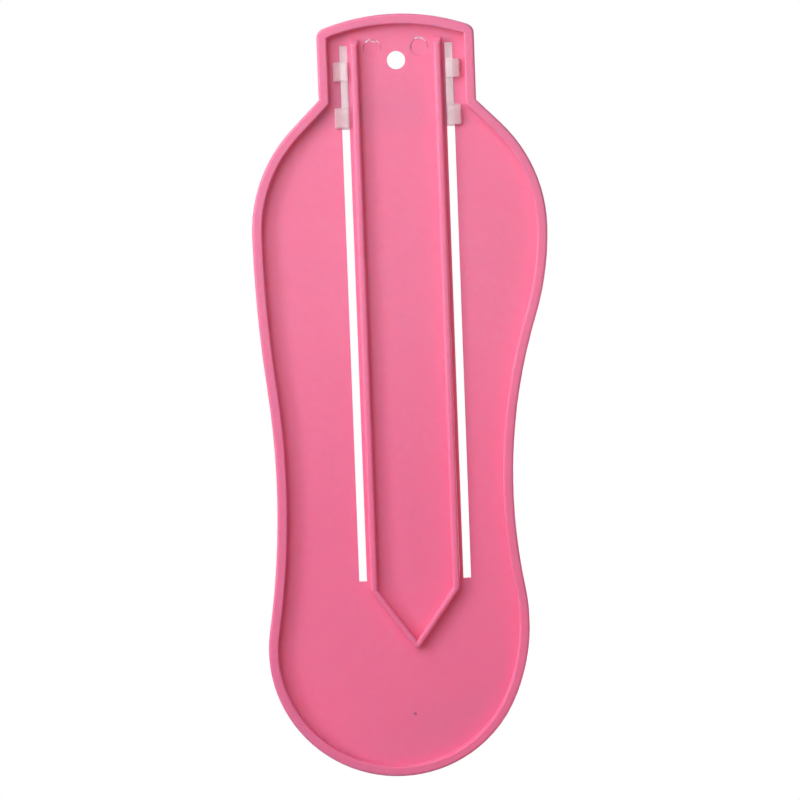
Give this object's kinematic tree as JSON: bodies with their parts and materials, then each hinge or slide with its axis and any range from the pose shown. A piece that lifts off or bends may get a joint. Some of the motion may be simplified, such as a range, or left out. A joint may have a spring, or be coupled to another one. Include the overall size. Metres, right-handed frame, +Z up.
{
  "type": "foot measuring device",
  "caption": "Sole-shaped tray with a heel stop, two long slots and a hanging tab, and a snap-in slider whose toe stop reads foot length.",
  "frame": {"origin": "middle of the plate's outline, on the surface it lies on", "axes": "+Z up, the printed front's outward normal; +Y from the heel to the hanging tab, parallel to the slots; -X to the arch side"},
  "size_m": [0.0924, 0.24, 0.0256],
  "materials": {
    "pink_plastic": "semi-gloss moulded ABS, self-coloured pink",
    "clear_plastic": "translucent natural polypropylene, semi-gloss"
  },
  "bodies": {
    "plate": {"base_plate": "pink_plastic"},
    "slide": {"slider": "clear_plastic"}
  },
  "joints": [
    {"name": "slider_travel", "type": "slide", "parent": "plate", "child": "slide", "axis": [0, 1, 0], "range_m": [-0.1427, 0.0048]}
  ]
}
